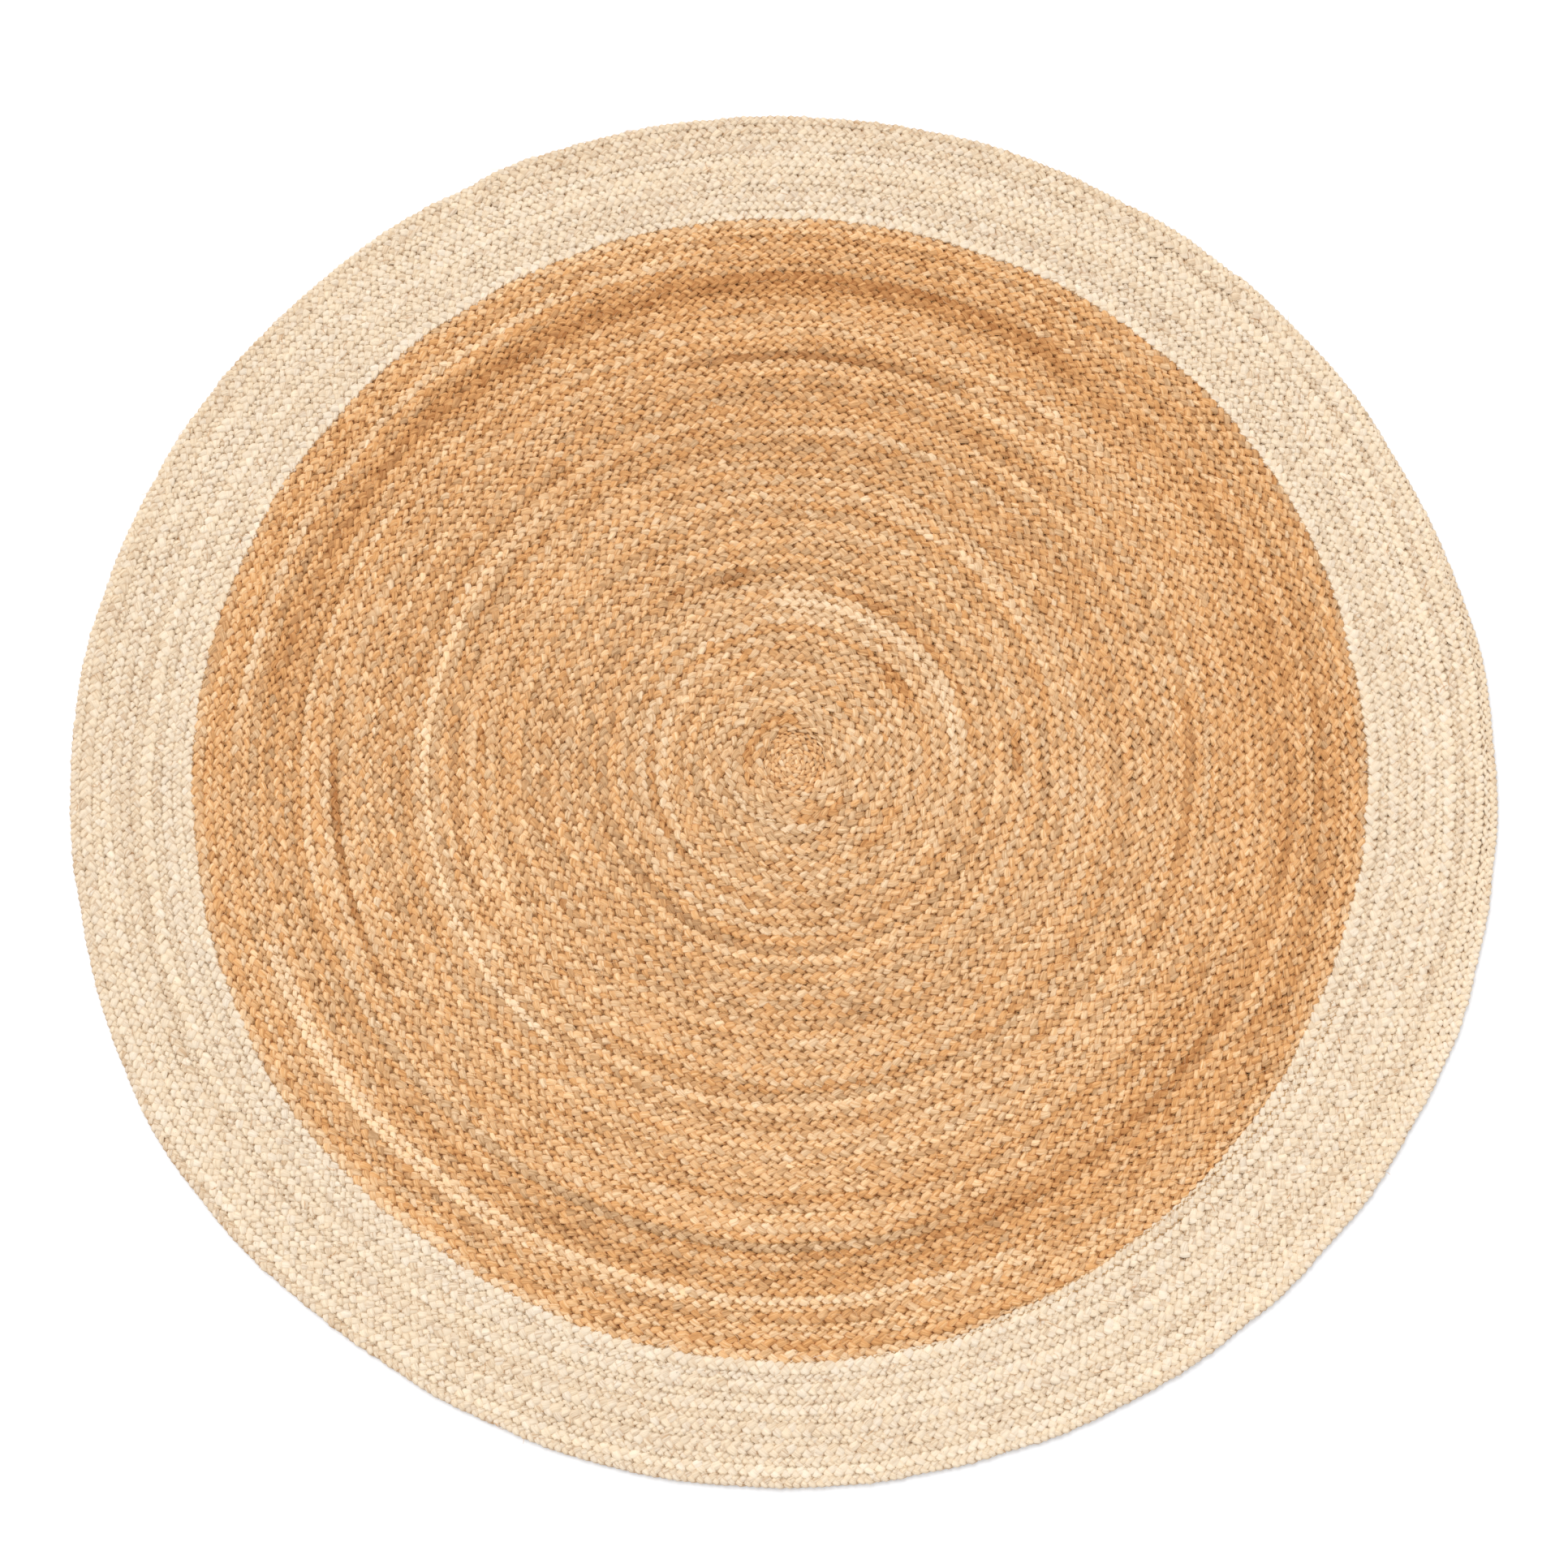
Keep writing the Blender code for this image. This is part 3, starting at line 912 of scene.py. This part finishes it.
def thread_surface(name, usual):
    """Twisted sewing thread."""
    shader = Shader(name)
    patches, twist = shader.noise(35.0, 2.0), shader.noise(1400.0, 1.0)
    dark = tuple(value * 0.6 for value in usual)
    pale = tuple(min(1.0, value * 1.3) for value in usual)
    mixed = patches * 0.5 + twist * 0.5
    tone = shader.ramp(mixed, ((0.25, dark), (0.5, usual), (0.8, pale)))
    return shader.finish(tone, 0.85 - twist * 0.25, twist, 0.2 * MM, 0.5)


def fibre_surface(name, pale, dark):
    """A single loose fibre, paler and darker in places."""
    shader = Shader(name)
    patches, grain = shader.noise(60.0, 2.0), shader.noise(2500.0, 1.0)
    tone = shader.ramp(patches, ((0.35, dark), (0.6, pale)))
    return shader.finish(tone, 0.8 - grain * 0.2, grain, 0.1 * MM, 0.4)


def palettes():
    """The cool and the warm range of each kind of jute."""
    colors = bpy.context.scene.jute_colors
    beige, orange, bleached = (
        [tuple(getattr(colors, f"{fibre}_{part}")) for part in ("dark", "mid", "pale")]
        for fibre in ("beige", "orange", "bleached")
    )
    golden = [tuple(np.array(part) * (1.0, 0.95, 0.86)) for part in bleached]
    return beige, orange, bleached, golden


class RUG_OT_start_coil(bpy.types.Operator):
    """Plaits the fine coil in the middle of the rug."""

    bl_idname = "rug.start_coil"
    bl_label = "Start coil"

    def execute(self, context):
        rug, shape = context.scene.rug_layout, context.scene.plait_shape
        beige, orange, _, _ = palettes()
        kind = PlaitKind(shape.coil_period, rug.coil_pitch, 0.62, 0.75, 0.06, 0.03)
        kind.thickness, kind.rise = shape.coil_thickness, shape.coil_rise
        surface = jute("start_jute", beige, orange, 0.20, kind)
        row = Row(rug, (coil_seam, coil_outer_seam), (-0.75, rug.coil_turns))
        plait("start_coil", row, kind, surface, "start_jute", 1, toned=False)
        return {"FINISHED"}


class RUG_OT_orange_plait(bpy.types.Operator):
    """Plaits the orange plait of the field in its three lengths."""

    bl_idname = "rug.orange_plait"
    bl_label = "Orange plait"

    def execute(self, context):
        rug, shape = context.scene.rug_layout, context.scene.plait_shape
        beige, orange, _, _ = palettes()
        width = rug.field_share * (rug.field_radius - rug.start_radius) / rug.field_turns
        kind = PlaitKind(shape.field_period, width, 0.60, 0.70, 0.06, 0.085)
        surface = jute("orange_jute", beige, orange, 0.40, kind)
        first = (rug.tip_width - rug.field_share * rug.first_pitch) / rug.first_pitch
        scarf = (rug.field_turns - rug.scarf, rug.field_turns)
        marks = (first, *ORANGE_JOINS, rug.field_turns)
        for number, span in enumerate(zip(marks, marks[1:]), 1):
            row = Row(rug, INNER_ROW, span, scarf_out=scarf if number == 3 else None)
            plait(f"orange_plait_{number}", row, kind, surface, "orange_jute", 10 + number)
        return {"FINISHED"}


class RUG_OT_beige_plait(bpy.types.Operator):
    """Plaits the beige plait of the field in its two lengths."""

    bl_idname = "rug.beige_plait"
    bl_label = "Beige plait"

    def execute(self, context):
        rug, shape = context.scene.rug_layout, context.scene.plait_shape
        beige, orange, _, _ = palettes()
        share = 1 - rug.field_share
        width = share * (rug.field_radius - rug.start_radius) / rug.field_turns
        kind = PlaitKind(shape.field_period, width, 0.58, 0.42, 0.06, 0.085)
        surface = jute("beige_jute", beige, orange, 0.40, kind)
        first = (rug.tip_width - rug.first_pitch) / rug.first_pitch
        scarf = (rug.field_turns - 2 * rug.scarf, rug.field_turns - rug.scarf)
        marks = (first, BEIGE_JOIN, scarf[1])
        for number, span in enumerate(zip(marks, marks[1:]), 1):
            row = Row(rug, OUTER_ROW, span, scarf_out=scarf if number == 2 else None)
            plait(f"beige_plait_{number}", row, kind, surface, "beige_jute", 20 + number)
        return {"FINISHED"}


class RUG_OT_border_plaits(bpy.types.Operator):
    """Plaits the wide and the narrow bleached plait of the border, out to their tails."""

    bl_idname = "rug.border_plaits"
    bl_label = "Border plaits"

    def execute(self, context):
        rug, shape = context.scene.rug_layout, context.scene.plait_shape
        _, _, bleached, golden = palettes()
        pitch = (rug.rug_radius - rug.field_radius) / rug.border_turns
        width = rug.border_share * pitch
        kind = PlaitKind(shape.wide_period, width, 0.62, 0.38, 0.04, 0.06)
        wide = jute("bleached_jute_wide", bleached, golden, 0.32, kind)
        scarf = (rug.field_turns - rug.scarf, rug.field_turns)
        row = Row(rug, INNER_ROW, (scarf[0], inner_tail(rug)[1]), scarf_in=scarf)
        plait("border_wide_plait", row, kind, wide, "bleached_jute_wide", 31)
        width = (1 - rug.border_share) * pitch
        kind = PlaitKind(shape.narrow_period, width, 0.60, 0.45, 0.04, 0.06)
        narrow = jute("bleached_jute_narrow", bleached, golden, 0.32, kind)
        scarf = (rug.field_turns - 2 * rug.scarf, rug.field_turns - rug.scarf)
        row = Row(rug, OUTER_ROW, (scarf[0], outer_tail(rug)[1]), scarf_in=scarf)
        plait("border_narrow_plait", row, kind, narrow, "bleached_jute_narrow", 32)
        return {"FINISHED"}


class RUG_OT_seams(bpy.types.Operator):
    """Sews the rows together and tacks down the tails."""

    bl_idname = "rug.seams"
    bl_label = "Seams"

    def execute(self, context):
        rug, colors = context.scene.rug_layout, context.scene.jute_colors
        golden = thread_surface("field_thread", tuple(colors.thread))
        pale = thread_surface("border_thread", tuple(colors.border_thread))
        first, last = FIRST_STITCH, inner_tail(rug)[0] - SEAM_CLEARANCE
        change = rug.field_turns + SEAM_CLEARANCE
        seams = (
            ("field_pair_seam_stitches", middle_seam, first, change, golden, 41),
            ("field_turn_seam_stitches", turn_seam, first, change + 1, golden, 42),
            ("border_pair_seam_stitches", middle_seam, change, last, pale, 43, "pair_seam_thread"),
            ("border_turn_seam_stitches", turn_seam, change + 1, last, pale, 44, "turn_seam_thread"),
        )
        for seam in seams:
            stitches(*seam)
        tails = (
            ("wide_tail_tack", INNER_ROW, inner_tail(rug)[1]),
            ("narrow_tail_tack", OUTER_ROW, outer_tail(rug)[1]),
        )
        for node, edges, end in tails:
            tack(f"{node}_thread", edges, end - TACK_SETBACK, pale, node)
        return {"FINISHED"}


class RUG_OT_loose_fibres(bpy.types.Operator):
    """Scatters the fine fibres that have worked loose."""

    bl_idname = "rug.loose_fibres"
    bl_label = "Loose fibres"

    def execute(self, context):
        rug, colors = context.scene.rug_layout, context.scene.jute_colors
        field = fibre_surface("loose_field_fibre", colors.orange_pale, colors.beige_mid)
        border = fibre_surface("loose_border_fibre", colors.bleached_pale, colors.orange_mid)
        inside = (rug.start_radius - 3 * MM, rug.field_radius)
        edge = (rug.field_radius + 10 * MM, rug.rug_radius - 10 * MM)
        loose_fibres("field_loose_fibres", field, "orange_jute", 2400, inside, 51)
        loose_fibres("border_loose_fibres", border, "bleached_jute_wide", 1100, edge, 52)
        loose_fibres("rim_loose_fibres", border, "bleached_jute_wide", 60, edge, 53, rim=True)
        return {"FINISHED"}


class RUG_OT_studio(bpy.types.Operator):
    """Sets the floor, the light and the camera."""

    bl_idname = "rug.studio"
    bl_label = "Studio"

    def execute(self, context):
        scene, studio = context.scene, context.scene.studio
        bm = bmesh.new()
        bmesh.ops.create_grid(bm, x_segments=1, y_segments=1, size=studio.floor_size / 2)
        bmesh.ops.translate(bm, verts=bm.verts, vec=(0, 0, -0.3 * MM))
        mesh = bpy.data.meshes.new("floor")
        bm.to_mesh(mesh)
        bm.free()
        shader = Shader("floor_paint")
        shader.base.inputs["Base Color"].default_value = (*studio.floor, 1)
        shader.base.inputs["Roughness"].default_value = 0.9
        mesh.materials.append(shader.made)
        floor = add_object("floor", mesh)
        self.set_light(scene, studio)
        self.set_camera(scene, studio)
        return {"FINISHED"}

    def set_light(self, scene, studio):
        """An even sky and one soft lamp."""
        scene.view_settings.view_transform = "Standard"
        world = bpy.data.worlds.new("studio_sky")
        world.use_nodes = True
        background = world.node_tree.nodes["Background"]
        background.inputs["Color"].default_value = (0.96, 0.98, 1.0, 1)
        background.inputs["Strength"].default_value = studio.sky
        scene.world = world
        data = bpy.data.lights.new("soft_lamp", "SUN")
        data.energy = studio.lamp
        data.angle = studio.lamp_spread
        data.color = (1.0, 0.99, 0.97)
        lamp = add_object("soft_lamp", data)
        flat = math.cos(studio.lamp_height)
        turn, rise = studio.lamp_turn, math.sin(studio.lamp_height)
        way = Vector((math.cos(turn) * flat, math.sin(turn) * flat, rise))
        lamp.rotation_euler = way.to_track_quat("Z", "Y").to_euler()

    def set_camera(self, scene, studio):
        """A camera that looks steeply down on the rug."""
        data = bpy.data.cameras.new("camera")
        data.lens = studio.lens
        camera = add_object("camera", data)
        centre = spiral_centre(scene.rug_layout)
        aim = Vector((centre[0] + studio.aim_x, centre[1] + studio.aim_y, 0))
        back = Vector((0, -math.cos(studio.elevation), math.sin(studio.elevation)))
        turn = back.to_track_quat("Z", "Y").to_matrix().to_4x4()
        roll = Matrix.Rotation(studio.roll, 4, "Z")
        camera.matrix_world = Matrix.Translation(aim + back * studio.distance) @ turn @ roll
        data.clip_start, data.clip_end = 0.05, 100
        scene.camera = camera


OPERATORS = (
    RUG_OT_start_coil,
    RUG_OT_orange_plait,
    RUG_OT_beige_plait,
    RUG_OT_border_plaits,
    RUG_OT_seams,
    RUG_OT_loose_fibres,
    RUG_OT_studio,
)


class RUG_PT_panel(bpy.types.Panel):
    """Lists the steps that make the rug."""

    bl_label = "Braided rug"
    bl_idname = "RUG_PT_panel"
    bl_space_type = "VIEW_3D"
    bl_region_type = "UI"
    bl_category = "Rug"

    def draw(self, context):
        for step in OPERATORS:
            self.layout.operator(step.bl_idname)


GROUPS = {
    "rug_layout": RugLayout,
    "plait_shape": PlaitShape,
    "sewing": Sewing,
    "jute_colors": JuteColors,
    "studio": Studio,
}


def register():
    """Registers the settings, the steps and the panel."""
    for made in (*GROUPS.values(), *OPERATORS, RUG_PT_panel):
        bpy.utils.register_class(made)
    for name, group in GROUPS.items():
        setattr(bpy.types.Scene, name, bpy.props.PointerProperty(type=group))


def unregister():
    """Removes the settings, the steps and the panel."""
    for name in GROUPS:
        delattr(bpy.types.Scene, name)
    for made in reversed((*GROUPS.values(), *OPERATORS, RUG_PT_panel)):
        bpy.utils.unregister_class(made)


def main():
    """Makes the rug and its studio."""
    register()
    for step in OPERATORS:
        group, name = step.bl_idname.split(".")
        getattr(getattr(bpy.ops, group), name)()


if __name__ == "__main__":
    main()
